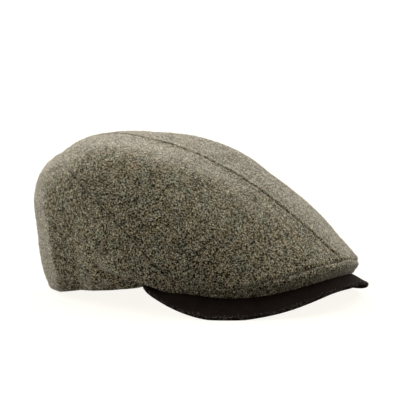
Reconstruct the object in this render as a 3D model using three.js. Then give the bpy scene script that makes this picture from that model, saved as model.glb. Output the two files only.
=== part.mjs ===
// Flat cap of melange wool with a curved suede peak, lying on a table as it would by itself.
// Millimetres, +Z up. The front of the cap faces -Y, and the wearer's right side is towards -X.
// The origin lies on the table, under the middle of the cap's outer box.
//
// Every cloth piece is a layer: a smooth surface given by two running values, and a wall behind it.
// Points are worked out as (forward, right, up) from a spot on the table under the middle of the head.
import * as THREE from "three";
import { mergeVertices } from "three/addons/utils/BufferGeometryUtils.js";

// Crown: how far the cloth reaches from the middle of the head, and how high it stands
const CROWN_FRONT_REACH = 137.5;
const CROWN_BACK_REACH = 108;
const CROWN_HALF_WIDTH = 90.5;
const CROWN_HEIGHT = 112.5;
const CLOTH_THICKNESS = 2.4;

// The gap between two pieces that are sewn together
const SEAM_GAP = 0.3;

// The hem turned in along the back rim
const HEM_THICKNESS = 1.4;
const HEM_DEPTH = 9;

// How high the table stands above the lowest point of the free shape: what it meets is pressed flat
const TABLE_HEIGHT = 0.4;

// How much higher than the outer corner the lower corner inside the wall stands, over the peak
const FOOT_BEVEL = 1;

// Peak: how far it stands out from under the crown, how far it drops on the way, how far it is tucked in
const PEAK_OVERHANG = 16;
const PEAK_DROP = 10;
const PEAK_TUCK = 32;
const PEAK_INNER_RISE = 11;
const PEAK_COVER_THICKNESS = 1.8;
const PEAK_BEND_WIDTH = 8;

// The crown is a stack of closed rings, from the lower edge (level 0) to the top (level 7).
// front and middle are shares of CROWN_FRONT_REACH; middle is where the ring is widest. back is a share of
// CROWN_BACK_REACH, side of CROWN_HALF_WIDTH, and each height and the lobe of CROWN_HEIGHT. lobe is how far
// the ring dips half way between front and side. frontSquare and backSquare are 2 for an ellipse, more for
// a squarer outline.
const RINGS = [
  {
    front: 0.969, middle: 0.159, back: 0.906, side: 0.947,
    frontHeight: 0.199, sideHeight: 0.143, backHeight: 0, lobe: 0.077,
    frontSquare: 2.1, backSquare: 2.1,
  },
  {
    front: 0.993, middle: 0.197, back: 0.937, side: 1.003,
    frontHeight: 0.289, sideHeight: 0.254, backHeight: 0.146, lobe: 0.066,
    frontSquare: 2.05, backSquare: 2.2,
  },
  {
    front: 0.87, middle: 0.181, back: 0.969, side: 1.001,
    frontHeight: 0.4, sideHeight: 0.416, backHeight: 0.374, lobe: 0.019,
    frontSquare: 2, backSquare: 2.3,
  },
  {
    front: 0.715, middle: 0.087, back: 0.995, side: 0.965,
    frontHeight: 0.537, sideHeight: 0.593, backHeight: 0.602, lobe: 0,
    frontSquare: 2, backSquare: 2.3,
  },
  {
    front: 0.534, middle: -0.001, back: 0.959, side: 0.871,
    frontHeight: 0.676, sideHeight: 0.758, backHeight: 0.772, lobe: 0,
    frontSquare: 2, backSquare: 2.2,
  },
  {
    front: 0.322, middle: -0.054, back: 0.829, side: 0.698,
    frontHeight: 0.808, sideHeight: 0.904, backHeight: 0.886, lobe: 0,
    frontSquare: 2, backSquare: 2.1,
  },
  {
    front: 0.092, middle: -0.147, back: 0.611, side: 0.428,
    frontHeight: 0.912, sideHeight: 0.982, backHeight: 0.993, lobe: 0,
    frontSquare: 2, backSquare: 2,
  },
  {
    front: -0.195, middle: -0.195, back: 0.248, side: 0,
    frontHeight: 0.985, sideHeight: 0.985, backHeight: 0.985, lobe: 0,
    frontSquare: 2, backSquare: 2,
  },
];
const TOP = RINGS.length - 1;

// Soft dents beside the end of the peak. angle in degrees, level in rings, lean in rings per degree,
// depth as a share of CROWN_HALF_WIDTH, below zero where the cloth bulges.
const DENTS = [
  { angle: 98, level: 0.5, angleSpread: 14, levelSpread: 0.26, lean: 0.035, depth: 0.034 },
  { angle: 98, level: 0.95, angleSpread: 17, levelSpread: 0.4, lean: 0.04, depth: -0.018 },
];

// Seams on the right side, as angle in degrees from the front and level in rings.
// The side seam climbs from the lower edge to the middle of the back.
const SIDE_SEAM = [
  { angle: 65.5, level: 0 },
  { angle: 75, level: 0.78 },
  { angle: 87, level: 1.7 },
  { angle: 95, level: 2.56 },
  { angle: 103, level: 3.3 },
  { angle: 114, level: 3.96 },
  { angle: 130, level: 4.5 },
  { angle: 150, level: 4.9 },
  { angle: 180, level: 5.1 },
];
// The front seam joins the front strip to the two big panels
const FRONT_SEAM = [
  { angle: 0, level: 1.1 },
  { angle: 15, level: 1.16 },
  { angle: 28, level: 1.06 },
  { angle: 38, level: 0.94 },
  { angle: 44, level: 0.76 },
  { angle: 49, level: 0.54 },
  { angle: 54, level: 0.3 },
  { angle: 60, level: 0.08 },
];
const STRIP_END_ANGLE = 60;
const SIDE_SEAM_START_ANGLE = 66.5;

// The peak along the crown's lower edge. angle in degrees, overhang as a share of PEAK_OVERHANG, drop of
// PEAK_DROP, tuck of PEAK_TUCK, rise of PEAK_INNER_RISE.
const PEAK = [
  { angle: 0, overhang: 0.73, drop: 0.5, tuck: 1, rise: 1 },
  { angle: 10, overhang: 0.73, drop: 0.54, tuck: 0.98, rise: 0.98 },
  { angle: 19, overhang: 0.78, drop: 0.6, tuck: 0.925, rise: 0.92 },
  { angle: 29, overhang: 0.86, drop: 0.6, tuck: 0.806, rise: 0.8 },
  { angle: 39, overhang: 0.94, drop: 0.7, tuck: 0.67, rise: 0.64 },
  { angle: 47, overhang: 1.03, drop: 0.83, tuck: 0.55, rise: 0.5 },
  { angle: 55, overhang: 1.05, drop: 0.96, tuck: 0.444, rise: 0.36 },
  { angle: 61, overhang: 0.99, drop: 0.97, tuck: 0.378, rise: 0.27 },
  { angle: 67, overhang: 0.86, drop: 0.86, tuck: 0.32, rise: 0.18 },
  { angle: 73, overhang: 0.72, drop: 0.64, tuck: 0.27, rise: 0.11 },
  { angle: 79, overhang: 0.54, drop: 0.3, tuck: 0.24, rise: 0.05 },
  { angle: 85, overhang: 0.275, drop: 0.06, tuck: 0.22, rise: 0.01 },
  { angle: 90, overhang: -0.2, drop: 0, tuck: 0.21, rise: 0 },
];
const PEAK_END_ANGLE = PEAK[PEAK.length - 1].angle;

const radians = THREE.MathUtils.degToRad;
const smooth = (value, from, to) => THREE.MathUtils.smoothstep(value, from, to);

// A smooth curve through equally spaced values, at place 0 to values.length - 1.
// after is the value that would follow the last one.
function throughValues(values, place, after) {
  const last = values.length - 1;
  const i = THREE.MathUtils.clamp(Math.floor(place), 0, last - 1);
  const t = place - i;
  const before = 2 * values[0] - values[1];
  const [a, b, c, d] = [values[i - 1] ?? before, values[i], values[i + 1], values[i + 2] ?? after];
  return b + (t / 2) * (c - a + t * (2 * a - 5 * b + 4 * c - d + t * (3 * (b - c) + d - a)));
}

// A smooth curve through the rows of a table, with row[key] as its running value and row[name] as its height
function throughRows(rows, key, name, at) {
  let i = rows.findIndex((row) => row[key] > at) - 1;
  if (i < 0) i = at <= rows[0][key] ? 0 : rows.length - 2;
  const slope = (j) => {
    const [p, q] = [rows[Math.max(j - 1, 0)], rows[Math.min(j + 1, rows.length - 1)]];
    return (q[name] - p[name]) / (q[key] - p[key]);
  };
  const [p, q] = [rows[i], rows[i + 1]];
  const width = q[key] - p[key];
  const t = THREE.MathUtils.clamp((at - p[key]) / width, 0, 1);
  const [t2, t3] = [t * t, t * t * t];
  return (
    p[name] * (2 * t3 - 3 * t2 + 1) +
    q[name] * (3 * t2 - 2 * t3) +
    width * (slope(i) * (t3 - 2 * t2 + t) + slope(i + 1) * (t3 - t2))
  );
}

// One ring's lengths at a level between the rows, in millimetres. The surface runs on over the top, so what
// follows the last front value is the back value below it, and the other way round.
function ringAt(level) {
  const below = RINGS[TOP - 1];
  const pick = (name, after) => throughValues(RINGS.map((ring) => ring[name]), level, after);
  const backShare = CROWN_BACK_REACH / CROWN_FRONT_REACH;
  return {
    front: CROWN_FRONT_REACH * pick("front", -below.back * backShare),
    middle: CROWN_FRONT_REACH * pick("middle", below.middle),
    back: -CROWN_BACK_REACH * pick("back", -below.front / backShare),
    side: CROWN_HALF_WIDTH * pick("side", -below.side),
    frontHeight: CROWN_HEIGHT * pick("frontHeight", below.backHeight),
    sideHeight: CROWN_HEIGHT * pick("sideHeight", below.sideHeight),
    backHeight: CROWN_HEIGHT * pick("backHeight", below.frontHeight),
    lobe: CROWN_HEIGHT * pick("lobe", below.lobe),
    frontSquare: pick("frontSquare", below.frontSquare),
    backSquare: pick("backSquare", below.backSquare),
  };
}

// How far a rounded outline lies from its middle in the direction of an angle
function outlineReach(angle, along, across, square) {
  const share = (length, value) => Math.pow(Math.abs(value) / length, square);
  return Math.pow(share(along, Math.cos(angle)) + share(across, Math.sin(angle)), -1 / square);
}

// The outer face of the crown at an angle in degrees and a level
function crownPoint(degrees, level) {
  const angle = radians(degrees);
  const ring = ringAt(level);
  const inFront = Math.cos(angle) > 0;
  const along = Math.max(inFront ? ring.front - ring.middle : ring.middle - ring.back, 1e-6);
  const across = Math.max(ring.side, 1e-6);
  const dent = DENTS.reduce((sum, row) => {
    const away = degrees - row.angle;
    const up = level - row.level - row.lean * away;
    return sum + row.depth * Math.exp(-((away / row.angleSpread) ** 2) - (up / row.levelSpread) ** 2);
  }, 0);
  const square = inFront ? ring.frontSquare : ring.backSquare;
  const reach = outlineReach(angle, along, across, square) - CROWN_HALF_WIDTH * dent;
  const [c, s] = [Math.cos(angle), Math.sin(angle)];
  const lean = (ring.frontHeight - ring.backHeight) / 2;
  const bow = (ring.frontHeight + ring.backHeight) / 2 - ring.sideHeight;
  const lobe = inFront ? ring.lobe * Math.sin(2 * angle) ** 2 : 0;
  return new THREE.Vector3(
    ring.middle + reach * c,
    reach * s,
    ring.sideHeight + lean * c + bow * c * c - lobe,
  );
}

// The direction that a surface faces at two running values, away from the inside of the cap
function facing(surface, u, v, step) {
  const du = surface(u + step, v).sub(surface(u - step, v));
  const dv = surface(u, v + step).sub(surface(u, v - step));
  return du.cross(dv).normalize();
}

const sideSeamLevel = (degrees) => throughRows(SIDE_SEAM, "angle", "level", degrees);
const frontSeamLevel = (degrees) => throughRows(FRONT_SEAM, "angle", "level", degrees);

// How many levels a length up the cloth spans, at an angle and a level
const STEP = 0.01;
function levelsIn(length, degrees, level) {
  const above = crownPoint(degrees, Math.min(level + STEP, TOP));
  return (length * STEP) / above.distanceTo(crownPoint(degrees, level));
}

// A point of a crown layer: on the outer face, or on the face behind the wall
function crownLayer(degrees, level, behind) {
  const outer = crownPoint(degrees, level);
  if (!behind) return outer;
  if (TOP - level < 2 * STEP) return outer.setZ(outer.z - CLOTH_THICKNESS);
  const atRim = smooth(degrees, PEAK_END_ANGLE + 2, PEAK_END_ANGLE + 12);
  const foot = crownPoint(degrees, 0);
  const hem = HEM_THICKNESS * atRim * (1 - smooth(outer.distanceTo(foot), HEM_DEPTH * 0.8, HEM_DEPTH * 1.2));
  const lifted = Math.max(level, levelsIn(FOOT_BEVEL, degrees, 0) * (1 - atRim));
  const normal = facing((u, v) => crownPoint(u * 90, v), degrees / 90, lifted, STEP);
  const inner = crownPoint(degrees, lifted).addScaledVector(normal, -CLOTH_THICKNESS - hem);
  if (level === 0) inner.z = THREE.MathUtils.lerp(inner.z, outer.z, atRim);
  return inner;
}

// The upper face of the peak: across 0 is its inner edge, 1 its outer edge.
// It passes under the crown's lower edge, a seam gap below it, and falls towards its own edge.
function peakPoint(degrees, across) {
  const angle = radians(Math.abs(degrees));
  const share = (name) => throughRows(PEAK, "angle", name, Math.abs(degrees));
  const middle = ringAt(0).middle;
  const seat = crownPoint(Math.abs(degrees), 0);
  const seatReach = Math.hypot(seat.x - middle, seat.y);
  const outwards = THREE.MathUtils.lerp(-PEAK_TUCK * share("tuck"), PEAK_OVERHANG * share("overhang"), across);
  const rise = (PEAK_INNER_RISE * share("rise")) / (PEAK_TUCK * share("tuck"));
  const fall = (PEAK_DROP * share("drop")) / Math.max(PEAK_OVERHANG * share("overhang"), PEAK_BEND_WIDTH / 2);
  const bend = smooth(outwards, -PEAK_BEND_WIDTH, PEAK_BEND_WIDTH);
  const reach = seatReach + outwards;
  return new THREE.Vector3(
    middle + reach * Math.cos(angle),
    Math.sign(degrees) * reach * Math.sin(angle),
    seat.z - SEAM_GAP - outwards * THREE.MathUtils.lerp(rise, fall, bend),
  );
}

// A point of the peak at a depth below its upper face
function peakLayer(degrees, across, depth) {
  const normal = facing((u, v) => peakPoint(u * 90, v), degrees / 90, across, STEP);
  if (normal.z < 0) normal.negate();
  return peakPoint(degrees, across).addScaledVector(normal, -depth);
}

// A closed wall between two grids of points, front(i, j) and behind(i, j).
// mirrored makes the piece for the left side, from the points of the right side.
function wall(columns, rows, front, behind, mirrored) {
  const points = [];
  const index = [];
  const put = (v) => points.push(mirrored ? v.y : -v.y, -v.x, Math.max(v.z, TABLE_HEIGHT));
  for (const layer of [front, behind])
    for (let i = 0; i <= columns; i++) for (let j = 0; j <= rows; j++) put(layer(i, j));
  const count = (columns + 1) * (rows + 1);
  const at = (layer, i, j) => layer * count + i * (rows + 1) + j;
  const quad = (a, b, c, d) => index.push(...(mirrored ? [a, c, b, a, d, c] : [a, b, c, a, c, d]));
  for (let i = 0; i < columns; i++)
    for (let j = 0; j < rows; j++) {
      quad(at(0, i, j), at(0, i, j + 1), at(0, i + 1, j + 1), at(0, i + 1, j));
      quad(at(1, i, j), at(1, i + 1, j), at(1, i + 1, j + 1), at(1, i, j + 1));
    }
  for (let i = 0; i < columns; i++) {
    quad(at(0, i, 0), at(0, i + 1, 0), at(1, i + 1, 0), at(1, i, 0));
    quad(at(0, i, rows), at(1, i, rows), at(1, i + 1, rows), at(0, i + 1, rows));
  }
  for (let j = 0; j < rows; j++) {
    quad(at(0, 0, j), at(1, 0, j), at(1, 0, j + 1), at(0, 0, j + 1));
    quad(at(0, columns, j), at(0, columns, j + 1), at(1, columns, j + 1), at(1, columns, j));
  }
  const loose = new THREE.BufferGeometry();
  loose.setAttribute("position", new THREE.Float32BufferAttribute(points, 3));
  loose.setIndex(index);
  const merged = mergeVertices(loose, 1e-3);
  const kept = [];
  for (let k = 0; k < merged.index.count; k += 3) {
    const [a, b, c] = [0, 1, 2].map((n) => merged.index.getX(k + n));
    if (a !== b && b !== c && a !== c) kept.push(a, b, c);
  }
  merged.setIndex(kept);
  merged.computeVertexNormals();
  return merged;
}

// Evenly spread angles through a list of stops: [angle, columns up to it]
function spread(start, ...stops) {
  const angles = [start];
  for (const [angle, columns] of stops) {
    const from = angles[angles.length - 1];
    for (let i = 1; i <= columns; i++) angles.push(from + ((angle - from) * i) / columns);
  }
  return angles;
}

// A crown panel over some angles, between a lower and an upper level that change with the angle
function crownPanel(angles, rows, lowLevel, highLevel, mirrored) {
  const point = (behind) => (i, j) => {
    const low = lowLevel(angles[i]);
    const level = low + ((highLevel(angles[i]) - low) * j) / rows;
    const p = crownLayer(angles[i], level, behind);
    p.y = Math.max(p.y, SEAM_GAP / 2);
    return p;
  };
  return wall(angles.length - 1, rows, point(false), point(true), mirrored);
}

// Half of a seam's gap in levels. The side seam runs at a slant, so it is wider up the cloth.
const SLANT = 1.4;
const halfGap = (degrees, level, slant) => levelsIn((SEAM_GAP * slant) / 2, degrees, level);

function bigPanelFoot(degrees) {
  const front = frontSeamLevel(degrees);
  if (degrees <= STRIP_END_ANGLE) return front + halfGap(degrees, front, 1);
  if (degrees < SIDE_SEAM_START_ANGLE) return 0;
  const side = sideSeamLevel(degrees);
  return side + halfGap(degrees, side, SLANT);
}

function rearPanelTop(degrees) {
  const side = sideSeamLevel(degrees);
  return side - halfGap(degrees, side, SLANT);
}

function stripTop(degrees) {
  const front = frontSeamLevel(degrees);
  return front - halfGap(degrees, front, 1);
}

const wool = new THREE.MeshStandardMaterial({ color: 0x77705a, roughness: 0.95, metalness: 0 });
const suede = new THREE.MeshStandardMaterial({ color: 0x1c1815, roughness: 0.9, metalness: 0 });

const cap = new THREE.Group();
function add(name, geometry, material) {
  const mesh = new THREE.Mesh(geometry, material);
  mesh.name = name;
  cap.add(mesh);
}

const SIDE_STOPS = [[75, 3], [115, 10], [180, 10]];
for (const [side, mirrored] of [["right", false], ["left", true]]) {
  // The big panel: from the centre seam down to the front strip, the peak and the side seam
  const bigAngles = spread(0, [STRIP_END_ANGLE, 12], [SIDE_SEAM_START_ANGLE, 2], ...SIDE_STOPS);
  add("front_panel_" + side, crownPanel(bigAngles, 14, bigPanelFoot, () => TOP, mirrored), wool);
  // The rear panel: below the side seam, round to the middle of the back
  const rearAngles = spread(SIDE_SEAM_START_ANGLE, ...SIDE_STOPS);
  add("back_panel_" + side, crownPanel(rearAngles, 10, () => 0, rearPanelTop, mirrored), wool);
}

// The strip of cloth that runs under the front seam, from side to side
const STRIP_ROWS = 3;
const stripAngles = spread(-STRIP_END_ANGLE, [0, 16], [STRIP_END_ANGLE, 16]);
const stripPoint = (behind) => (i, j) => {
  const degrees = Math.abs(stripAngles[i]);
  const p = crownLayer(degrees, (stripTop(degrees) * j) / STRIP_ROWS, behind);
  p.y *= Math.sign(stripAngles[i]);
  return p;
};
add("front_strip", wall(stripAngles.length - 1, STRIP_ROWS, stripPoint(false), stripPoint(true), false), wool);

// The peak's two covers, one under the other
const PEAK_ROWS = 7;
const peakAngles = spread(-PEAK_END_ANGLE, [-60, 9], [60, 24], [PEAK_END_ANGLE, 9]);
function addPeakCover(name, depth) {
  const point = (below) => (i, j) => peakLayer(peakAngles[i], 1 - j / PEAK_ROWS, depth + below);
  const geometry = wall(peakAngles.length - 1, PEAK_ROWS, point(0), point(PEAK_COVER_THICKNESS), false);
  add(name, geometry, suede);
}
addPeakCover("peak_cover", 0);
addPeakCover("peak_under_cover", PEAK_COVER_THICKNESS + SEAM_GAP);

// Seat the cap on the table, with the origin under the middle of its box
const box = new THREE.Box3().setFromObject(cap);
const middle = box.getCenter(new THREE.Vector3());
cap.position.set(-middle.x, -middle.y, -TABLE_HEIGHT);

export default cap;
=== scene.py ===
import math

import bmesh
import bpy
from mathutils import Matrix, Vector, geometry, noise


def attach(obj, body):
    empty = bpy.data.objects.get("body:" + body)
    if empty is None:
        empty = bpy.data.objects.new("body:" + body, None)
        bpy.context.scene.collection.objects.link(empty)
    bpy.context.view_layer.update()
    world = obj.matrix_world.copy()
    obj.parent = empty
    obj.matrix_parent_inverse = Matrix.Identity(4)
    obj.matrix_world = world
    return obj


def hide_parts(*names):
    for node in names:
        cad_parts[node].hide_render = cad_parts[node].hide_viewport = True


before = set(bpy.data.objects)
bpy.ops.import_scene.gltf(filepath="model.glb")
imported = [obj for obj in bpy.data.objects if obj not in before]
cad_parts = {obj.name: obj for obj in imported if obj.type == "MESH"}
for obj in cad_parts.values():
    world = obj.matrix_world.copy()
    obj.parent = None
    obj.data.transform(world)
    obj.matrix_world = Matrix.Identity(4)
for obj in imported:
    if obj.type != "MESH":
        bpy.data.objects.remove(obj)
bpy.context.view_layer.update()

MM = 0.001

# Camera
# It looks at the cap's right side and a little down on it, from the photograph's angle, through a long lens.
# It aims to the right of the head's middle and above it, so the head stands low and left in the picture.
CAMERA_AZIMUTH = math.radians(-57.54)
CAMERA_ELEVATION = math.radians(9.66)
CAMERA_DISTANCE = 1600 * MM
CAMERA_LENS = 197.3
HEAD_MIDDLE = Vector((0, 18.75, -0.4)) * MM
LOOK_RIGHT = 16.1 * MM
LOOK_UP = 66.6 * MM


def new_object(name, data):
    """An object in the scene, at the origin."""
    made = bpy.data.objects.new(name, data)
    bpy.context.scene.collection.objects.link(made)
    return made


camera_back = Vector(
    (
        math.sin(CAMERA_AZIMUTH) * math.cos(CAMERA_ELEVATION),
        -math.cos(CAMERA_AZIMUTH) * math.cos(CAMERA_ELEVATION),
        math.sin(CAMERA_ELEVATION),
    )
)
camera_right = Vector((math.cos(CAMERA_AZIMUTH), math.sin(CAMERA_AZIMUTH), 0))
look_at = HEAD_MIDDLE + camera_right * LOOK_RIGHT + camera_back.cross(camera_right) * LOOK_UP
camera = new_object("camera", bpy.data.cameras.new("camera"))
camera.data.lens = CAMERA_LENS
camera.location = HEAD_MIDDLE + camera_back * CAMERA_DISTANCE
camera.rotation_euler = (look_at - camera.location).to_track_quat("-Z", "Y").to_euler()
bpy.context.scene.camera = camera

# Big panels of the crown, right and left
# Each is one cut of brushed melange wool from the front strip over the top to the back, and the two are sewn
# together along the middle. A seam draws the cloth in, and soft folds lie where the crown sinks on the table.
CROWN_FRONT_REACH = 137.5
CROWN_BACK_REACH = 108
CROWN_HALF_WIDTH = 90.5
CROWN_HEIGHT = 112.5
CROWN_MIDDLE_Y = 18.7
CLOTH_THICKNESS = 2.4
TABLE_HEIGHT = 0.4
SEAM_DIP = 0.9
SEAM_DIP_WIDTH = 1
# Width and strength of the seam's dark line: painted shade in its groove, together with its pressed fibres
SEAM_LINE_WIDTH = 0.6
SLANTED_SEAM_LINE_WIDTH = 1.3
STRAIGHT_SEAM_STRENGTH = 0.85
SEAM_HAIR_LOSS = 0.85
EDGE_ROUNDING = 0.5
EDGE_THINNING = 0.5
# How high the cloth stands, in millimetres, where the painted highlight on crests starts and where it is full
CREST_HIGHLIGHT_FROM = 1.2
CREST_HIGHLIGHT_TO = 3.6
ROLL_FROM_SEAM = 3
ROLL_WIDTH = 2
BIG_PANEL_ROLL = 0.4
WAVE_LENGTH = 34
WAVE_HEIGHT = 0.9
SAME_PLACE = 0.01
BIG_COLUMNS = 190
BIG_ROWS = 84

# How much closer a panel's columns and rows lie at its edges, from 0 to 1
CLOSER_COLUMNS = 0.7
CLOSER_ROWS = 0.6

# Closed rings of the crown, from its lower edge to its top, as shares of its reaches, half width and height
RINGS = [
    dict(
        front=0.969, middle=0.159, back=0.906, side=0.947,
        front_height=0.199, side_height=0.143, back_height=0, lobe=0.077,
        front_square=2.1, back_square=2.1,
    ),
    dict(
        front=0.993, middle=0.197, back=0.937, side=1.003,
        front_height=0.289, side_height=0.254, back_height=0.146, lobe=0.066,
        front_square=2.05, back_square=2.2,
    ),
    dict(
        front=0.87, middle=0.181, back=0.969, side=1.001,
        front_height=0.4, side_height=0.416, back_height=0.374, lobe=0.019,
        front_square=2, back_square=2.3,
    ),
    dict(
        front=0.715, middle=0.087, back=0.995, side=0.965,
        front_height=0.537, side_height=0.593, back_height=0.602, lobe=0,
        front_square=2, back_square=2.3,
    ),
    dict(
        front=0.534, middle=-0.001, back=0.959, side=0.871,
        front_height=0.676, side_height=0.758, back_height=0.772, lobe=0,
        front_square=2, back_square=2.2,
    ),
    dict(
        front=0.322, middle=-0.054, back=0.829, side=0.698,
        front_height=0.808, side_height=0.904, back_height=0.886, lobe=0,
        front_square=2, back_square=2.1,
    ),
    dict(
        front=0.092, middle=-0.147, back=0.611, side=0.428,
        front_height=0.912, side_height=0.982, back_height=0.993, lobe=0,
        front_square=2, back_square=2,
    ),
    dict(
        front=-0.195, middle=-0.195, back=0.248, side=0,
        front_height=0.985, side_height=0.985, back_height=0.985, lobe=0,
        front_square=2, back_square=2,
    ),
]
TOP = len(RINGS) - 1

# Seams of one side, as angle in degrees from the front and level in rings. On the left the front seam drops a
# little lower, by a share of a level that comes in and goes out between the angles below. A panel's foot that
# lies lower than FREE_EDGE_LEVEL isn't sewn: it is the cap's free edge.
SIDE_SEAM = [
    (65.5, 0), (75, 0.78), (87, 1.7), (95, 2.56), (103, 3.3), (114, 3.96), (130, 4.5), (150, 4.9), (180, 5.1),
]
FRONT_SEAM = [(0, 1.1), (15, 1.16), (28, 1.06), (38, 0.94), (44, 0.76), (49, 0.54), (54, 0.3), (60, 0.08)]
LEFT_SEAM_DROP = 0.22
LEFT_DROP_COMES_IN = (3, 18)
LEFT_DROP_GOES_OUT_FROM = 40
STRIP_END_ANGLE = 60
SIDE_SEAM_START_ANGLE = 66.5
FREE_EDGE_LEVEL = 0.05

# Soft folds of the cloth, each along a line between two places given as angle and level. width and height are
# in millimetres, and a height below zero is a groove. An overlap is a ridge with a groove below it. Along its
# line a fold comes in and goes out between the shares of its length that stand here.
MM_PER_DEGREE = 1.7
MM_PER_LEVEL = 16
FOLD_COMES_IN = (-0.1, 0.25)
FOLD_GOES_OUT = (0.75, 1.1)
CREASE_ROUNDING = 0.08
OVERLAP_SCALE = 2.33
FOLDS = [
    dict(start=(67, -0.4), end=(115, 1.38), width=4.4, height=3.8, shape="overlap"),
    dict(start=(139.5, -0.4), end=(137, 3.2), width=9, height=2.4, shape="crease"),
    dict(start=(127, -0.8), end=(125, 3.2), width=10, height=-2.2, shape="round"),
]
FOLD_SHAPES = {
    "round": lambda across: math.exp(-across * across),
    "crease": lambda across: math.exp(CREASE_ROUNDING - math.hypot(across, CREASE_ROUNDING)),
    "overlap": lambda across: OVERLAP_SCALE * across * math.exp(-across * across),
}


def through_values(values, place, after):
    """A smooth curve through evenly spaced values. after is the value that would follow the last one."""
    last = len(values) - 1
    i = max(0, min(int(place), last - 1))
    t = place - i
    a = values[i - 1] if i else 2 * values[0] - values[1]
    b = values[i]
    c = values[i + 1]
    d = values[i + 2] if i + 2 <= last else after
    return b + t / 2 * (c - a + t * (2 * a - 5 * b + 4 * c - d + t * (3 * (b - c) + d - a)))


def through_rows(rows, at):
    """A smooth curve through rows of (place, value)."""
    last = len(rows) - 1
    i = max(0, min(sum(row[0] <= at for row in rows) - 1, last - 1))

    def slope(j):
        p = rows[max(j - 1, 0)]
        q = rows[min(j + 1, last)]
        return (q[1] - p[1]) / (q[0] - p[0])

    width = rows[i + 1][0] - rows[i][0]
    t = max(0, min((at - rows[i][0]) / width, 1))
    return (
        rows[i][1] * (2 * t**3 - 3 * t**2 + 1)
        + rows[i + 1][1] * (3 * t**2 - 2 * t**3)
        + width * (slope(i) * (t**3 - 2 * t**2 + t) + slope(i + 1) * (t**3 - t**2))
    )


def smooth(value, low, high):
    """Rises from 0 at low to 1 at high."""
    t = max(0, min((value - low) / (high - low), 1))
    return t * t * (3 - 2 * t)


def ring_at(level):
    """One ring's lengths in millimetres. Past the top the surface runs on down the other side."""
    below = RINGS[-2]
    share = CROWN_BACK_REACH / CROWN_FRONT_REACH
    after = dict(
        below,
        front=-below["back"] * share,
        back=-below["front"] / share,
        side=-below["side"],
        front_height=below["back_height"],
        back_height=below["front_height"],
    )
    scale = dict(
        front=CROWN_FRONT_REACH, middle=CROWN_FRONT_REACH, back=-CROWN_BACK_REACH, side=CROWN_HALF_WIDTH,
        front_height=CROWN_HEIGHT, side_height=CROWN_HEIGHT, back_height=CROWN_HEIGHT, lobe=CROWN_HEIGHT,
        front_square=1, back_square=1,
    )
    return {k: s * through_values([ring[k] for ring in RINGS], level, after[k]) for k, s in scale.items()}


def crown_point(degrees, level):
    """The outer face of the crown's right side, in metres."""
    angle = math.radians(degrees)
    ring = ring_at(level)
    in_front = math.cos(angle) > 0
    along = max(ring["front"] - ring["middle"] if in_front else ring["middle"] - ring["back"], 1e-6)
    across = max(ring["side"], 1e-6)
    square = ring["front_square"] if in_front else ring["back_square"]
    c = math.cos(angle)
    s = math.sin(angle)
    reach = (abs(c / along) ** square + abs(s / across) ** square) ** (-1 / square)
    lean = (ring["front_height"] - ring["back_height"]) / 2
    bow = (ring["front_height"] + ring["back_height"]) / 2 - ring["side_height"]
    lobe = ring["lobe"] * math.sin(2 * angle) ** 2 if in_front else 0
    up = ring["side_height"] + lean * c + bow * c * c - lobe
    forward = ring["middle"] + reach * c
    return Vector((-reach * s, CROWN_MIDDLE_Y - forward, up - TABLE_HEIGHT)) * MM


def laid_out(degrees, level):
    """A place on the crown as if the cloth were laid out flat, in millimetres."""
    return Vector((degrees * MM_PER_DEGREE, level * MM_PER_LEVEL, 0))


def relief(point, degrees, level):
    """How far the cloth stands above its even shape, in metres, from soft waves and folds."""
    waves = noise.noise(point / (WAVE_LENGTH * MM)) + 0.5 * noise.noise(point / (WAVE_LENGTH / 2 * MM))
    height = WAVE_HEIGHT * waves
    place = laid_out(degrees, level)
    for fold in FOLDS:
        start = laid_out(*fold["start"])
        end = laid_out(*fold["end"])
        nearest, share = geometry.intersect_point_line(place, start, end)
        fade = smooth(share, *FOLD_COMES_IN) * (1 - smooth(share, *FOLD_GOES_OUT))
        line = (end - start).normalized()
        across = (place - nearest).dot(Vector((-line.y, line.x, 0))) / fold["width"]
        height += fold["height"] * fade * FOLD_SHAPES[fold["shape"]](across)
    return height * MM


def eased(share, close):
    """Shares that lie closer together near 0 and 1."""
    return share - close * math.sin(2 * math.pi * share) / (2 * math.pi)


def side_seam_level(degrees):
    return through_rows(SIDE_SEAM, abs(degrees))


def front_seam_level(degrees):
    """The level of the front seam. Degrees below zero are on the left, where it runs a little lower."""
    away = abs(degrees)
    drop = 0
    if degrees < 0:
        came_in = smooth(away, *LEFT_DROP_COMES_IN)
        gone_out = smooth(away, LEFT_DROP_GOES_OUT_FROM, STRIP_END_ANGLE)
        drop = LEFT_SEAM_DROP * came_in * (1 - gone_out)
    return through_rows(FRONT_SEAM, away) - drop


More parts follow.
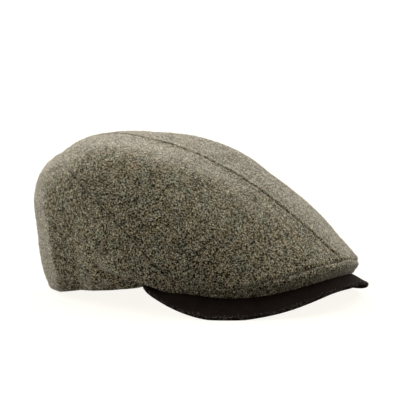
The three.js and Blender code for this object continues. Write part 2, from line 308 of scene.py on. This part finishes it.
def cloth_panel(columns, rows, angles, low_level, high_level, middle_seam, roll, mirrored=False):
    """A sewn panel: a grid laid on the crown, drawn in at its edges and rolled up beside its seams."""
    sheet = bmesh.new()
    bmesh.ops.create_grid(sheet, x_segments=columns, y_segments=rows, size=0.5)
    wall = sheet.verts.layers.deform.verify()
    seam_shade_and_press = sheet.verts.layers.float.new("seam_shade_and_press")
    crest = sheet.verts.layers.float.new("crest")
    hairy = sheet.verts.layers.float.new("hairy")
    raised = {}
    in_middle = set()
    edges = {}
    for vertex in sheet.verts:
        share = eased(vertex.co.x + 0.5, CLOSER_COLUMNS)
        degrees = angles[0] + (angles[1] - angles[0]) * share
        side = -1 if degrees < 0 or mirrored else 1
        low = low_level(abs(degrees) * side)
        high = high_level(abs(degrees) * side)
        if degrees not in edges:
            edges[degrees] = (crown_point(abs(degrees), low), crown_point(abs(degrees), high))
        level = low + (high - low) * eased(vertex.co.y + 0.5, CLOSER_ROWS)
        point = crown_point(abs(degrees), level)
        to_low = (point - edges[degrees][0]).length / MM
        to_seams = [to_low] if low > FREE_EDGE_LEVEL else []
        if high < TOP:
            to_seams.append((point - edges[degrees][1]).length / MM)
        if middle_seam:
            to_seams.append(abs(point.x) / MM)
            if point.x > -SAME_PLACE * MM:
                in_middle.add(vertex.index)
        to_seam = min(to_seams)
        at_seam = math.exp(-to_seam / SEAM_DIP_WIDTH)
        at_edge = max(at_seam, math.exp(-to_low / SEAM_DIP_WIDTH))
        vertex[wall][0] = 1 - EDGE_THINNING * at_edge
        # Distances are measured along the columns, so a slanted seam's line looks narrower than it is given
        slanted = abs(degrees) > SIDE_SEAM_START_ANGLE and to_seam < abs(point.x) / MM
        line_width = SLANTED_SEAM_LINE_WIDTH if slanted else SEAM_LINE_WIDTH
        strength = 1 if slanted else STRAIGHT_SEAM_STRENGTH
        # The seam's dark line: painted shade in its groove, together with its pressed fibres
        vertex[seam_shade_and_press] = strength * math.exp(-((to_seam / line_width) ** 2))
        vertex[hairy] = 1 - SEAM_HAIR_LOSS * vertex[seam_shade_and_press]
        point.x *= side
        beside = roll * math.exp(-(((to_seam - ROLL_FROM_SEAM) / ROLL_WIDTH) ** 2))
        drawn_in = max(SEAM_DIP * at_seam, EDGE_ROUNDING * at_edge)
        raised[vertex.index] = relief(point, abs(degrees), level) + (beside - drawn_in) * MM
        vertex.co = point
    sheet.normal_update()
    if sum(face.normal.dot(face.calc_center_median() - HEAD_MIDDLE) for face in sheet.faces) < 0:
        bmesh.ops.reverse_faces(sheet, faces=sheet.faces)
        sheet.normal_update()
    for vertex in sheet.verts:
        # Painted highlight: the cloth is painted paler where it stands up on a fold or a roll
        vertex[crest] = smooth(raised[vertex.index] / MM, CREST_HIGHLIGHT_FROM, CREST_HIGHLIGHT_TO)
        vertex.co += vertex.normal * raised[vertex.index]
        if vertex.index in in_middle:
            vertex.co.x = 0
        vertex.co.z = max(vertex.co.z, 0)
    bmesh.ops.remove_doubles(sheet, verts=sheet.verts, dist=SAME_PLACE * MM)
    return sheet


def mesh_of(name, shape, material):
    """A mesh with a shape's faces, in one material."""
    mesh = bpy.data.meshes.new(name)
    shape.to_mesh(mesh)
    mesh.materials.append(material)
    return mesh


def finish_piece(name, shape, thickness, material, node):
    """Gives a shape its wall and its material. It stands for a CAD node and rides with the cap."""
    mesh = mesh_of(name, shape, material)
    shape.free()
    mesh.shade_smooth()
    piece = new_object(name, mesh)
    wall = piece.modifiers.new("wall", "SOLIDIFY")
    wall.thickness = thickness * MM
    wall.offset = -1
    wall.vertex_group = piece.vertex_groups.new(name="wall").name
    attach(piece, "root")
    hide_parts(node)


def linear(hex_colour):
    """A colour given in sRGB hex, as the shader needs it."""
    parts = [int(hex_colour[i : i + 2], 16) / 255 for i in (0, 2, 4)]
    return (*[p / 12.92 if p <= 0.04045 else ((p + 0.055) / 1.055) ** 2.4 for p in parts], 1)


def add_node(tree, kind, settings, inputs):
    """Adds a node. An input is a plain value, or another node's output."""
    node = tree.nodes.new(kind)
    for name, value in settings.items():
        setattr(node, name, value)
    for name, value in inputs.items():
        if isinstance(value, bpy.types.NodeSocket):
            tree.links.new(value, node.inputs[name])
        else:
            node.inputs[name].default_value = value
    return node


def new_material(name):
    """An empty material, with its node tree."""
    material = bpy.data.materials.new(name)
    material.use_nodes = True
    material.node_tree.nodes.clear()
    return material, material.node_tree


# The wool's grain. Real hairs are far finer than half a millimetre, and are drawn so wide that they show.
# Tufts and clumps of them are soft patches, whose shares say how much they count beside single hairs.
HAIRS_PER_MM = 2.1
HAIR_CURL = 1.2
MORE_DARK_THAN_LIGHT = 1.5
TUFTS_PER_MM = 0.6
TUFT_SHARE = 0.35
CLUMPS_PER_MM = 0.18
CLUMP_SHARE = 0.3
DARKEST = 0.52
PALEST = 0.91
# How much paler a crest is painted, a painted highlight
CREST_HIGHLIGHT_TONE = 0.16


def tufts(tree, place):
    """Curled hairs, light and dark, in tufts and clumps. From 0, the darkest, to 1."""
    in_mm = add_node(
        tree, "ShaderNodeVectorMath", {"operation": "SCALE"}, {0: place, "Scale": 1 / MM}
    ).outputs[0]
    curl = add_node(
        tree, "ShaderNodeTexNoise", {},
        {"Vector": in_mm, "Scale": TUFTS_PER_MM, "Detail": 1, "Roughness": 0.6},
    ).outputs["Color"]
    curled = add_node(
        tree, "ShaderNodeVectorMath", {"operation": "MULTIPLY_ADD"}, {0: curl, 1: [HAIR_CURL] * 3, 2: in_mm}
    ).outputs[0]
    hairs = add_node(
        tree, "ShaderNodeTexVoronoi", {}, {"Vector": curled, "Scale": HAIRS_PER_MM, "Randomness": 1}
    ).outputs["Color"]
    soft = add_node(
        tree, "ShaderNodeTexNoise", {},
        {"Vector": in_mm, "Scale": TUFTS_PER_MM, "Detail": 2, "Roughness": 0.6},
    ).outputs["Fac"]
    clumps = add_node(
        tree, "ShaderNodeTexNoise", {},
        {"Vector": in_mm, "Scale": CLUMPS_PER_MM, "Detail": 2, "Roughness": 0.6},
    ).outputs["Fac"]
    mostly_dark = add_node(
        tree, "ShaderNodeMath", {"operation": "POWER"}, {0: hairs, 1: MORE_DARK_THAN_LIGHT}
    ).outputs[0]
    tufted = add_node(
        tree, "ShaderNodeMath", {"operation": "MULTIPLY_ADD"}, {0: soft, 1: TUFT_SHARE, 2: mostly_dark}
    ).outputs[0]
    clumped = add_node(
        tree, "ShaderNodeMath", {"operation": "MULTIPLY_ADD"}, {0: clumps, 1: CLUMP_SHARE, 2: tufted}
    ).outputs[0]
    return add_node(
        tree, "ShaderNodeMapRange", {}, {"Value": clumped, "From Min": DARKEST, "From Max": PALEST}
    ).outputs[0]


# Colours by tone, from the darkest hair to the palest, and the tints of the patches
WOOL_COLOURS = [
    (0, "171107"), (0.3, "282012"), (0.5, "4c4029"), (0.68, "91835e"), (0.84, "dacdac"), (1, "fffbe6"),
]
PATCH_TINTS = [(0.36, "f8fffa"), (0.5, "fffcf6"), (0.64, "fff8ea")]
PATCHES_PER_METRE = 110


def wool_colour(tree, tone, place):
    """The melange's colour for a tone from 0 to 1, a little greener in some patches and browner in others."""
    patches = add_node(
        tree, "ShaderNodeTexNoise", {},
        {"Vector": place, "Scale": PATCHES_PER_METRE, "Detail": 3, "Roughness": 0.6},
    ).outputs["Fac"]
    colours = []
    for value, stops in ((tone, WOOL_COLOURS), (patches, PATCH_TINTS)):
        ramp = add_node(tree, "ShaderNodeValToRGB", {}, {"Fac": value})
        for _ in stops[2:]:
            ramp.color_ramp.elements.new(0.5)
        for element, (position, hex_colour) in zip(ramp.color_ramp.elements, stops):
            element.position = position
            element.color = linear(hex_colour)
        colours.append(ramp.outputs["Color"])
    return add_node(
        tree, "ShaderNodeMix", {"data_type": "RGBA", "blend_type": "MULTIPLY"},
        {0: 1, 6: colours[0], 7: colours[1]},
    ).outputs[2]


def pale_sheen(tree, skin, tone, way_out):
    """The wool's pale fuzz, seen where the cloth turns away from the eye: partly the fuzz's own paler colour,
    partly a painted sheen along the outline.

    way_out holds the cloth's normal, where the shader itself has another one.
    """
    edge_on = add_node(tree, "ShaderNodeLayerWeight", {}, {"Blend": 0.5, **way_out}).outputs["Facing"]
    amount = add_node(
        tree, "ShaderNodeMapRange", {"interpolation_type": "SMOOTHSTEP"},
        {"Value": edge_on, "From Min": 0.4, "From Max": 0.92, "To Max": 0.95},
    ).outputs[0]
    # The painted sheen's colour, paler where the grain is paler
    colour = add_node(
        tree, "ShaderNodeMix", {"data_type": "RGBA"}, {0: tone, 6: linear("7c7464"), 7: linear("fffaee")}
    ).outputs[2]
    fuzz_and_painted_sheen = add_node(tree, "ShaderNodeBsdfDiffuse", {}, {"Color": colour}).outputs[0]
    return add_node(tree, "ShaderNodeMixShader", {}, {0: amount, 1: skin, 2: fuzz_and_painted_sheen}).outputs[0]


SEAM_BREAKS_PER_METRE = 160
HAIR_RELIEF = 0.4


def brushed_wool():
    """Brushed melange wool: light and dark hairs, curled over each other, in a matt cloth with a pale fuzz
    and a painted sheen.

    It is painted paler where a fold or a roll stands up, a painted highlight on the crests. A seam shows as a
    thin dark line, painted shade in its groove together with its pressed fibres, which the fuzz covers here
    and there.
    """
    material, tree = new_material("brushed_wool")
    place = add_node(tree, "ShaderNodeTexCoord", {}, {}).outputs["Object"]
    height = tufts(tree, place)
    # The painted highlight on crests raises the tone
    crest = add_node(tree, "ShaderNodeAttribute", {"attribute_name": "crest"}, {}).outputs["Fac"]
    tone = add_node(
        tree, "ShaderNodeMath", {"operation": "MULTIPLY_ADD"}, {0: crest, 1: CREST_HIGHLIGHT_TONE, 2: height}
    ).outputs[0]
    colour = wool_colour(tree, tone, place)
    # The seam's dark line, painted shade in its groove together with its pressed fibres, broken here and
    # there
    seam_shade_and_press = add_node(tree, "ShaderNodeAttribute", {"attribute_name": "seam_shade_and_press"}, {}).outputs["Fac"]
    broken = add_node(
        tree, "ShaderNodeTexNoise", {},
        {"Vector": place, "Scale": SEAM_BREAKS_PER_METRE, "Detail": 2, "Roughness": 0.6},
    ).outputs["Fac"]
    shows = add_node(
        tree, "ShaderNodeMapRange", {}, {"Value": broken, "From Min": 0.4, "From Max": 0.56, "To Max": 0.92}
    ).outputs[0]
    line = add_node(tree, "ShaderNodeMath", {"operation": "MULTIPLY"}, {0: seam_shade_and_press, 1: shows}).outputs[0]
    shaded = add_node(
        tree, "ShaderNodeMix", {"data_type": "RGBA"}, {0: line, 6: colour, 7: linear("0b0905")}
    ).outputs[2]
    bump = add_node(
        tree, "ShaderNodeBump", {}, {"Height": height, "Strength": 0.7, "Distance": HAIR_RELIEF * MM}
    ).outputs["Normal"]
    skin = add_node(
        tree, "ShaderNodeBsdfPrincipled", {},
        {
            "Base Color": shaded, "Roughness": 0.95, "Specular IOR Level": 0.15, "Normal": bump,
            "Sheen Weight": 0.5, "Sheen Roughness": 0.32, "Sheen Tint": linear("f4efe2"),
        },
    ).outputs[0]
    add_node(tree, "ShaderNodeOutputMaterial", {}, {"Surface": pale_sheen(tree, skin, tone, {})})
    return material


wool = brushed_wool()


LIGHT_THROUGH_HAIR = 0.6


def loose_wool_hair():
    """Loose hairs of the same wool, each of one tone, that let some light through."""
    material, tree = new_material("loose_wool_hair")
    place = add_node(tree, "ShaderNodeTexCoord", {}, {}).outputs["Object"]
    tone = add_node(tree, "ShaderNodeAttribute", {"attribute_name": "tone"}, {}).outputs["Fac"]
    colour = wool_colour(tree, tone, place)
    skin = add_node(
        tree, "ShaderNodeBsdfPrincipled", {},
        {"Base Color": colour, "Roughness": 0.8, "Specular IOR Level": 0.2},
    ).outputs[0]
    let_through = add_node(tree, "ShaderNodeBsdfTranslucent", {}, {"Color": colour}).outputs[0]
    both = add_node(
        tree, "ShaderNodeMixShader", {}, {0: LIGHT_THROUGH_HAIR, 1: skin, 2: let_through}
    ).outputs[0]
    way_out = add_node(tree, "ShaderNodeAttribute", {"attribute_name": "way_out"}, {}).outputs["Vector"]
    surface = pale_sheen(tree, both, tone, {"Normal": way_out})
    add_node(tree, "ShaderNodeOutputMaterial", {}, {"Surface": surface})
    return material


# Loose hairs stand out of the cloth. They are drawn thicker than real ones, so that they show. A hair's tone
# follows the grain under it in part. SHORTEST and LONGEST are shares of its length, and only few are long.
WOOL_HAIR_LENGTH = 2.3
WOOL_HAIR_THICKNESS = 0.14
WOOL_HAIRS_PER_SQUARE_MM = 1.35
HAIR_BOW = 0.12
SHORTEST = 0.6
LONGEST = 1.9
FEW_ARE_LONG = 4
GRAIN_IN_HAIR_TONE = 0.6
CHANCE_IN_HAIR_TONE = 0.65


def one_hair(name, length, thickness, material):
    """A short bowed hair, pointed at both ends and three-sided between them."""
    shape = bmesh.new()
    bmesh.ops.create_uvsphere(shape, u_segments=3, v_segments=2, radius=0.5)
    for vertex in shape.verts:
        along = vertex.co.z
        bow = HAIR_BOW * length if abs(along) < 0.25 else 0
        vertex.co = Vector((along * length, vertex.co.x * thickness + bow, vertex.co.y * thickness)) * MM
    bmesh.ops.recalc_face_normals(shape, faces=shape.faces)
    mesh = mesh_of(name, shape, material)
    shape.free()
    return bpy.data.objects.new(name, mesh)


def nap_nodes(name, hair, per_square_mm, stands_up):
    """Scatters hairs over a surface, lying every way, some standing up from it. None goes below the table."""
    tree = bpy.data.node_groups.new(name, "GeometryNodeTree")
    tree.interface.new_socket("Geometry", in_out="INPUT", socket_type="NodeSocketGeometry")
    tree.interface.new_socket("Geometry", in_out="OUTPUT", socket_type="NodeSocketGeometry")
    cloth = add_node(tree, "NodeGroupInput", {}, {}).outputs[0]
    hairy = add_node(
        tree, "GeometryNodeInputNamedAttribute", {"data_type": "FLOAT"}, {"Name": "hairy"}
    ).outputs["Attribute"]
    density = add_node(
        tree, "ShaderNodeMath", {"operation": "MULTIPLY"}, {0: hairy, 1: per_square_mm / MM**2}
    ).outputs[0]
    roots = add_node(
        tree, "GeometryNodeDistributePointsOnFaces", {}, {"Mesh": cloth, "Density": density, "Seed": 7}
    )
    upright = roots.outputs["Rotation"]
    way_out = add_node(
        tree, "FunctionNodeRotateVector", {}, {"Vector": (0, 0, 1), "Rotation": upright}
    ).outputs[0]
    rooted = add_node(
        tree, "GeometryNodeStoreNamedAttribute", {"data_type": "FLOAT_VECTOR", "domain": "POINT"},
        {"Geometry": roots.outputs["Points"], "Name": "way_out", "Value": way_out},
    ).outputs[0]
    # A hair leans over its root either way, may stand up, and is turned to any side
    lie = add_node(
        tree, "FunctionNodeRandomValue", {"data_type": "FLOAT_VECTOR"},
        {0: (-0.3, -stands_up, 0), 1: (0.3, 0.1, 2 * math.pi), "Seed": 1},
    ).outputs[0]
    lain = add_node(
        tree, "FunctionNodeRotateEuler", {"rotation_type": "EULER", "space": "LOCAL"},
        {"Rotation": upright, "Rotate By": lie},
    ).outputs[0]
    even_size = add_node(
        tree, "FunctionNodeRandomValue", {"data_type": "FLOAT"}, {2: 0, 3: 1, "Seed": 2}
    ).outputs[1]
    few_long = add_node(
        tree, "ShaderNodeMath", {"operation": "POWER"}, {0: even_size, 1: FEW_ARE_LONG}
    ).outputs[0]
    size = add_node(
        tree, "ShaderNodeMath", {"operation": "MULTIPLY_ADD"},
        {0: few_long, 1: LONGEST - SHORTEST, 2: SHORTEST},
    ).outputs[0]
    one = add_node(tree, "GeometryNodeObjectInfo", {}, {"Object": hair}).outputs["Geometry"]
    hairs = add_node(
        tree, "GeometryNodeInstanceOnPoints", {},
        {"Points": rooted, "Instance": one, "Rotation": lain, "Scale": size},
    ).outputs[0]
    place = add_node(tree, "GeometryNodeInputPosition", {}, {}).outputs[0]
    chance = add_node(
        tree, "FunctionNodeRandomValue", {"data_type": "FLOAT"}, {2: 0, 3: CHANCE_IN_HAIR_TONE, "Seed": 3}
    ).outputs[1]
    # Hairs on a crest get the same painted highlight as the cloth under them
    crest = add_node(
        tree, "GeometryNodeInputNamedAttribute", {"data_type": "FLOAT"}, {"Name": "crest"}
    ).outputs["Attribute"]
    own_tone = add_node(
        tree, "ShaderNodeMath", {"operation": "MULTIPLY_ADD"}, {0: crest, 1: CREST_HIGHLIGHT_TONE, 2: chance}
    ).outputs[0]
    tone = add_node(
        tree, "ShaderNodeMath", {"operation": "MULTIPLY_ADD", "use_clamp": True},
        {0: tufts(tree, place), 1: GRAIN_IN_HAIR_TONE, 2: own_tone},
    ).outputs[0]
    toned = add_node(
        tree, "GeometryNodeStoreNamedAttribute", {"data_type": "FLOAT", "domain": "INSTANCE"},
        {"Geometry": hairs, "Name": "tone", "Value": tone},
    ).outputs[0]
    real = add_node(tree, "GeometryNodeRealizeInstances", {}, {"Geometry": toned}).outputs[0]
    # Only the lowest height matters here. No hair reaches 10 m sideways.
    above = add_node(
        tree, "ShaderNodeVectorMath", {"operation": "MAXIMUM"}, {0: place, 1: (-10, -10, 0)}
    ).outputs[0]
    on_table = add_node(tree, "GeometryNodeSetPosition", {}, {"Geometry": real, "Position": above}).outputs[0]
    add_node(tree, "NodeGroupOutput", {}, {0: on_table})
    return tree


def add_nap(name, sheet, material, nodes):
    """Hairs over a sheet. The sheet itself is left out."""
    piece = new_object(name, mesh_of(name, sheet, material))
    piece.modifiers.new("nap", "NODES").node_group = nodes
    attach(piece, "root")


wool_hair = loose_wool_hair()
wool_nap = nap_nodes(
    "wool_nap", one_hair("wool_hair", WOOL_HAIR_LENGTH, WOOL_HAIR_THICKNESS, wool_hair),
    WOOL_HAIRS_PER_SQUARE_MM, 1,
)


def big_panel_foot(degrees):
    """The level of a big panel's lower edge: the front seam, a short free edge and the side seam."""
    if abs(degrees) <= STRIP_END_ANGLE:
        return front_seam_level(degrees)
    return 0 if abs(degrees) < SIDE_SEAM_START_ANGLE else side_seam_level(degrees)


for side in ("right", "left"):
    panel = cloth_panel(
        BIG_COLUMNS, BIG_ROWS, (0, 180),
        big_panel_foot, lambda degrees: TOP, True, BIG_PANEL_ROLL, mirrored=side == "left",
    )
    add_nap("big_panel_nap_" + side, panel, wool_hair, wool_nap)
    finish_piece("big_panel_" + side, panel, CLOTH_THICKNESS, wool, "front_panel_" + side)

# Rear panels, right and left
# They are cut from the same wool, stand below the side seams and meet in a seam in the middle of the back.
# The cap rests on their lower edge, which is pressed flat there.
REAR_PANEL_ROLL = 0.2
REAR_COLUMNS = 170
REAR_ROWS = 70

for side in ("right", "left"):
    panel = cloth_panel(
        REAR_COLUMNS, REAR_ROWS, (SIDE_SEAM_START_ANGLE, 180),
        lambda degrees: 0, side_seam_level, True, REAR_PANEL_ROLL, mirrored=side == "left",
    )
    add_nap("rear_panel_nap_" + side, panel, wool_hair, wool_nap)
    finish_piece("rear_panel_" + side, panel, CLOTH_THICKNESS, wool, "back_panel_" + side)

# Front strip
# A narrow strip of the same wool under the front seam, from side to side. The seam's turned-in edge makes it
# stand out at the top, and it turns in to the peak.
STRIP_ROLL = 0.5
STRIP_COLUMNS = 160
STRIP_ROWS = 14

strip = cloth_panel(
    STRIP_COLUMNS, STRIP_ROWS, (-STRIP_END_ANGLE, STRIP_END_ANGLE),
    lambda degrees: 0, front_seam_level, False, STRIP_ROLL,
)
add_nap("front_strip_nap", strip, wool_hair, wool_nap)
finish_piece("front_strip_cloth", strip, CLOTH_THICKNESS, wool, "front_strip")

# Peak
# Two covers of black suede, sewn together round their edge, the lower one under the upper one. The peak is
# tucked under the crown, bends down along its rim, and its thin ends go up behind the cloth.
PEAK_OVERHANG = 16
PEAK_DROP = 10
PEAK_TUCK = 32
PEAK_INNER_RISE = 11
PEAK_END_RISE = 3
PEAK_COVER_THICKNESS = 1.6
PEAK_BEND_WIDTH = 8
PEAK_GAP = 0.3
PEAK_EDGE_WIDTH = 2.4
PEAK_EDGE_FALL = 0.9
PEAK_EDGE_THINNING = 0.55
PEAK_END_THINNING = 0.75
FIBRE_BAND_WIDTH = 1.1
PEAK_COLUMNS = 200
PEAK_ROWS = 40
CLOSER_PEAK_ROWS = 0.7

# The peak along the crown's lower edge, as shares of the sizes above
PEAK = [
    dict(angle=0, overhang=0.671, drop=0.45, tuck=1, rise=1),
    dict(angle=10, overhang=0.64, drop=0.45, tuck=0.98, rise=0.98),
    dict(angle=19, overhang=0.71, drop=0.6, tuck=0.925, rise=0.92),
    dict(angle=29, overhang=0.834, drop=0.77, tuck=0.806, rise=0.8),
    dict(angle=39, overhang=0.93, drop=0.9, tuck=0.67, rise=0.64),
    dict(angle=47, overhang=1.04, drop=0.98, tuck=0.55, rise=0.5),
    dict(angle=55, overhang=1.09, drop=1.02, tuck=0.444, rise=0.36),
    dict(angle=61, overhang=1.02, drop=0.96, tuck=0.378, rise=0.27),
    dict(angle=67, overhang=0.85, drop=0.83, tuck=0.32, rise=0.18),
    dict(angle=73, overhang=0.644, drop=0.62, tuck=0.27, rise=0.11),
    dict(angle=79, overhang=0.423, drop=0.33, tuck=0.24, rise=0.05),
    dict(angle=85, overhang=0.26, drop=0.11, tuck=0.22, rise=0.01),
    dict(angle=90, overhang=-0.3, drop=0, tuck=0.21, rise=0),
]
PEAK_END_ANGLE = PEAK[-1]["angle"]
PEAK_END_FROM_ANGLE = PEAK_END_ANGLE - 12
PEAK_THIN_ANGLE = PEAK_END_ANGLE - 2


def peak_point(degrees, across):
    """The upper face of the peak, in metres. across 0 is its inner edge, 1 its outer edge."""
    away = abs(degrees)
    overhang, drop, tuck, rise = (
        through_rows([(row["angle"], row[name]) for row in PEAK], away)
        for name in ("overhang", "drop", "tuck", "rise")
    )
    middle = ring_at(0)["middle"]
    seat = crown_point(away, 0) / MM
    seat_reach = math.hypot(CROWN_MIDDLE_Y - seat.y - middle, seat.x)
    outwards = -PEAK_TUCK * tuck * (1 - across) + PEAK_OVERHANG * overhang * across
    bend = smooth(outwards, -PEAK_BEND_WIDTH, PEAK_BEND_WIDTH)
    up_in = PEAK_INNER_RISE * rise / (PEAK_TUCK * tuck)
    down_out = PEAK_DROP * drop / max(PEAK_OVERHANG * overhang, PEAK_BEND_WIDTH / 2)
    end_rise = PEAK_END_RISE * smooth(away, PEAK_END_FROM_ANGLE, PEAK_END_ANGLE)
    reach = seat_reach + outwards
    angle = math.radians(degrees)
    return MM * Vector(
        (
            -reach * math.sin(angle),
            CROWN_MIDDLE_Y - middle - reach * math.cos(angle),
            seat.z - PEAK_GAP + end_rise - outwards * (up_in + (down_out - up_in) * bend),
        )
    )


def peak_cover(depth):
    """One cover of the peak, a depth below its upper face, thin at its ends and rounded to its outer edge."""
    sheet = bmesh.new()
    bmesh.ops.create_grid(sheet, x_segments=PEAK_COLUMNS, y_segments=PEAK_ROWS, size=0.5)
    wall = sheet.verts.layers.deform.verify()
    hairy = sheet.verts.layers.float.new("hairy")
    moved = {}
    outer = {}
    for vertex in sheet.verts:
        degrees = PEAK_END_ANGLE * 2 * vertex.co.x
        if degrees not in outer:
            outer[degrees] = peak_point(degrees, 1)
        vertex.co = peak_point(degrees, eased(vertex.co.y + 0.5, CLOSER_PEAK_ROWS))
        to_edge = (vertex.co - outer[degrees]).length / MM
        rounding = max(0, 1 - to_edge / PEAK_EDGE_WIDTH)
        edge = 1 - math.sqrt(1 - rounding**2)
        thin_end = 1 - PEAK_END_THINNING * smooth(abs(degrees), PEAK_END_FROM_ANGLE, PEAK_THIN_ANGLE)
        vertex[wall][0] = thin_end * (1 - PEAK_EDGE_THINNING * edge)
        vertex[hairy] = math.exp(-((to_edge / FIBRE_BAND_WIDTH) ** 2))
        moved[vertex.index] = thin_end * (depth + (PEAK_EDGE_FALL * edge if depth == 0 else 0)) * MM
    sheet.normal_update()
    if sum(face.normal.z for face in sheet.faces) < 0:
        bmesh.ops.reverse_faces(sheet, faces=sheet.faces)
        sheet.normal_update()
    # The covers don't sink into the table: the upper one's face lies two walls above it, the lower one's one
    walls_to_table = 2 - depth / (PEAK_COVER_THICKNESS + PEAK_GAP)
    for vertex in sheet.verts:
        vertex.co -= vertex.normal * moved[vertex.index]
        vertex.co.z = max(vertex.co.z, walls_to_table * PEAK_COVER_THICKNESS * vertex[wall][0] * MM)
    return sheet


# A suede's nap is far finer. It is drawn about 0.7 mm wide, and the brushed patches are about 17 mm wide.
SUEDE_NAP_PER_MM = 1.4
BRUSHED_PATCHES_PER_MM = 0.06
SUEDE_RELIEF = 0.15


def suede_leather():
    """Black suede: a short soft nap, nearly black, that is browner and paler where it is brushed back."""
    material, tree = new_material("suede")
    place = add_node(tree, "ShaderNodeTexCoord", {}, {}).outputs["Object"]
    in_mm = add_node(
        tree, "ShaderNodeVectorMath", {"operation": "SCALE"}, {0: place, "Scale": 1 / MM}
    ).outputs[0]
    nap = add_node(
        tree, "ShaderNodeTexNoise", {},
        {"Vector": in_mm, "Scale": SUEDE_NAP_PER_MM, "Detail": 3, "Roughness": 0.6},
    ).outputs["Fac"]
    brushed = add_node(
        tree, "ShaderNodeTexNoise", {},
        {"Vector": in_mm, "Scale": BRUSHED_PATCHES_PER_MM, "Detail": 3, "Roughness": 0.6},
    ).outputs["Fac"]
    mixed = add_node(
        tree, "ShaderNodeMath", {"operation": "MULTIPLY_ADD"}, {0: brushed, 1: 0.7, 2: nap}
    ).outputs[0]
    shade = add_node(
        tree, "ShaderNodeMapRange", {}, {"Value": mixed, "From Min": 0.6, "From Max": 1.1}
    ).outputs[0]
    colour = add_node(
        tree, "ShaderNodeMix", {"data_type": "RGBA"}, {0: shade, 6: linear("1a1512"), 7: linear("332a25")}
    ).outputs[2]
    bump = add_node(
        tree, "ShaderNodeBump", {}, {"Height": nap, "Strength": 0.5, "Distance": SUEDE_RELIEF * MM}
    ).outputs["Normal"]
    skin = add_node(
        tree, "ShaderNodeBsdfPrincipled", {},
        {
            "Base Color": colour, "Roughness": 0.9, "Specular IOR Level": 0.05, "Normal": bump,
            "Sheen Weight": 0.03, "Sheen Roughness": 0.5, "Sheen Tint": linear("6b5648"),
        },
    ).outputs[0]
    add_node(tree, "ShaderNodeOutputMaterial", {}, {"Surface": skin})
    return material


def suede_fibre():
    """Fibres that stand out at the peak's cut edge, from black to a pale worn brown."""
    material, tree = new_material("suede_fibre")
    tone = add_node(tree, "ShaderNodeAttribute", {"attribute_name": "tone"}, {}).outputs["Fac"]
    colour = add_node(
        tree, "ShaderNodeMix", {"data_type": "RGBA"}, {0: tone, 6: linear("1c1714"), 7: linear("b0a69c")}
    ).outputs[2]
    skin = add_node(
        tree, "ShaderNodeBsdfPrincipled", {},
        {"Base Color": colour, "Roughness": 0.9, "Specular IOR Level": 0.1},
    ).outputs[0]
    add_node(tree, "ShaderNodeOutputMaterial", {}, {"Surface": skin})
    return material


SUEDE_FIBRE_LENGTH = 2.3
SUEDE_FIBRE_THICKNESS = 0.15
SUEDE_FIBRES_PER_SQUARE_MM = 5

suede = suede_leather()
fibre = suede_fibre()
suede_nap = nap_nodes(
    "suede_nap", one_hair("suede_fibre", SUEDE_FIBRE_LENGTH, SUEDE_FIBRE_THICKNESS, fibre),
    SUEDE_FIBRES_PER_SQUARE_MM, 1.1,
)
for name, node, depth in (
    ("suede_upper", "peak_cover", 0),
    ("suede_lower", "peak_under_cover", PEAK_COVER_THICKNESS + PEAK_GAP),
):
    cover = peak_cover(depth)
    add_nap(name + "_nap", cover, fibre, suede_nap)
    finish_piece(name, cover, PEAK_COVER_THICKNESS, suede, node)

# Floor and light
# A matt white table top without an edge in sight, that shows brighter than it lights the cap. Most light
# comes from behind, as from a bright backdrop, so the fuzz shines along the outline.
FLOOR_HALF_WIDTH = 10
FLOOR_GLOW = 0.93
LAMP_SPREAD = math.radians(60)
ROOM_LIGHT = 0.1
BACKDROP_BRIGHTNESS = 1.2

white, coat = new_material("white_table")
seen = add_node(coat, "ShaderNodeLightPath", {}, {}).outputs["Is Camera Ray"]
glow = add_node(coat, "ShaderNodeMath", {"operation": "MULTIPLY"}, {0: seen, 1: FLOOR_GLOW}).outputs[0]
lit = add_node(coat, "ShaderNodeBsdfDiffuse", {}, {"Color": linear("898784")}).outputs[0]
bright = add_node(
    coat, "ShaderNodeEmission", {}, {"Color": linear("fffcf6"), "Strength": glow}
).outputs[0]
paint = add_node(coat, "ShaderNodeAddShader", {}, {0: lit, 1: bright}).outputs[0]
add_node(coat, "ShaderNodeOutputMaterial", {}, {"Surface": paint})

floor_shape = bmesh.new()
bmesh.ops.create_grid(floor_shape, x_segments=1, y_segments=1, size=FLOOR_HALF_WIDTH)
floor = new_object("floor", mesh_of("floor", floor_shape, white))
floor_shape.free()


def soft_lamp(name, azimuth, elevation, strength):
    """A large soft lamp far away. Azimuth is 0 in front of the cap and 90 on its left, in degrees."""
    lamp = new_object(name, bpy.data.lights.new(name, "SUN"))
    lamp.data.energy = strength
    lamp.data.angle = LAMP_SPREAD
    lamp.data.color = linear("fdfaf3")[:3]
    around = math.radians(azimuth)
    up = math.radians(elevation)
    away = Vector((math.sin(around) * math.cos(up), -math.cos(around) * math.cos(up), math.sin(up)))
    lamp.rotation_euler = away.to_track_quat("Z", "Y").to_euler()


# They are named for where they stand in the photograph's view
soft_lamp("lamp_behind", 122, 12, 1.9)
soft_lamp("lamp_behind_left", 155, 12, 2.8)
soft_lamp("lamp_left", 205, 30, 1.2)
soft_lamp("lamp_behind_right", 80, 50, 1.1)
soft_lamp("lamp_right", 35, 50, 0.65)

world = bpy.data.worlds.new("room")
world.use_nodes = True
room = world.node_tree
room.nodes.clear()
ray = add_node(room, "ShaderNodeLightPath", {}, {}).outputs["Is Camera Ray"]
strength = add_node(
    room, "ShaderNodeMapRange", {}, {"Value": ray, "To Min": ROOM_LIGHT, "To Max": BACKDROP_BRIGHTNESS}
).outputs[0]
walls = add_node(
    room, "ShaderNodeBackground", {}, {"Color": linear("fffdfa"), "Strength": strength}
).outputs[0]
add_node(room, "ShaderNodeOutputWorld", {}, {"Surface": walls})
bpy.context.scene.world = world
bpy.context.scene.view_settings.view_transform = "Standard"
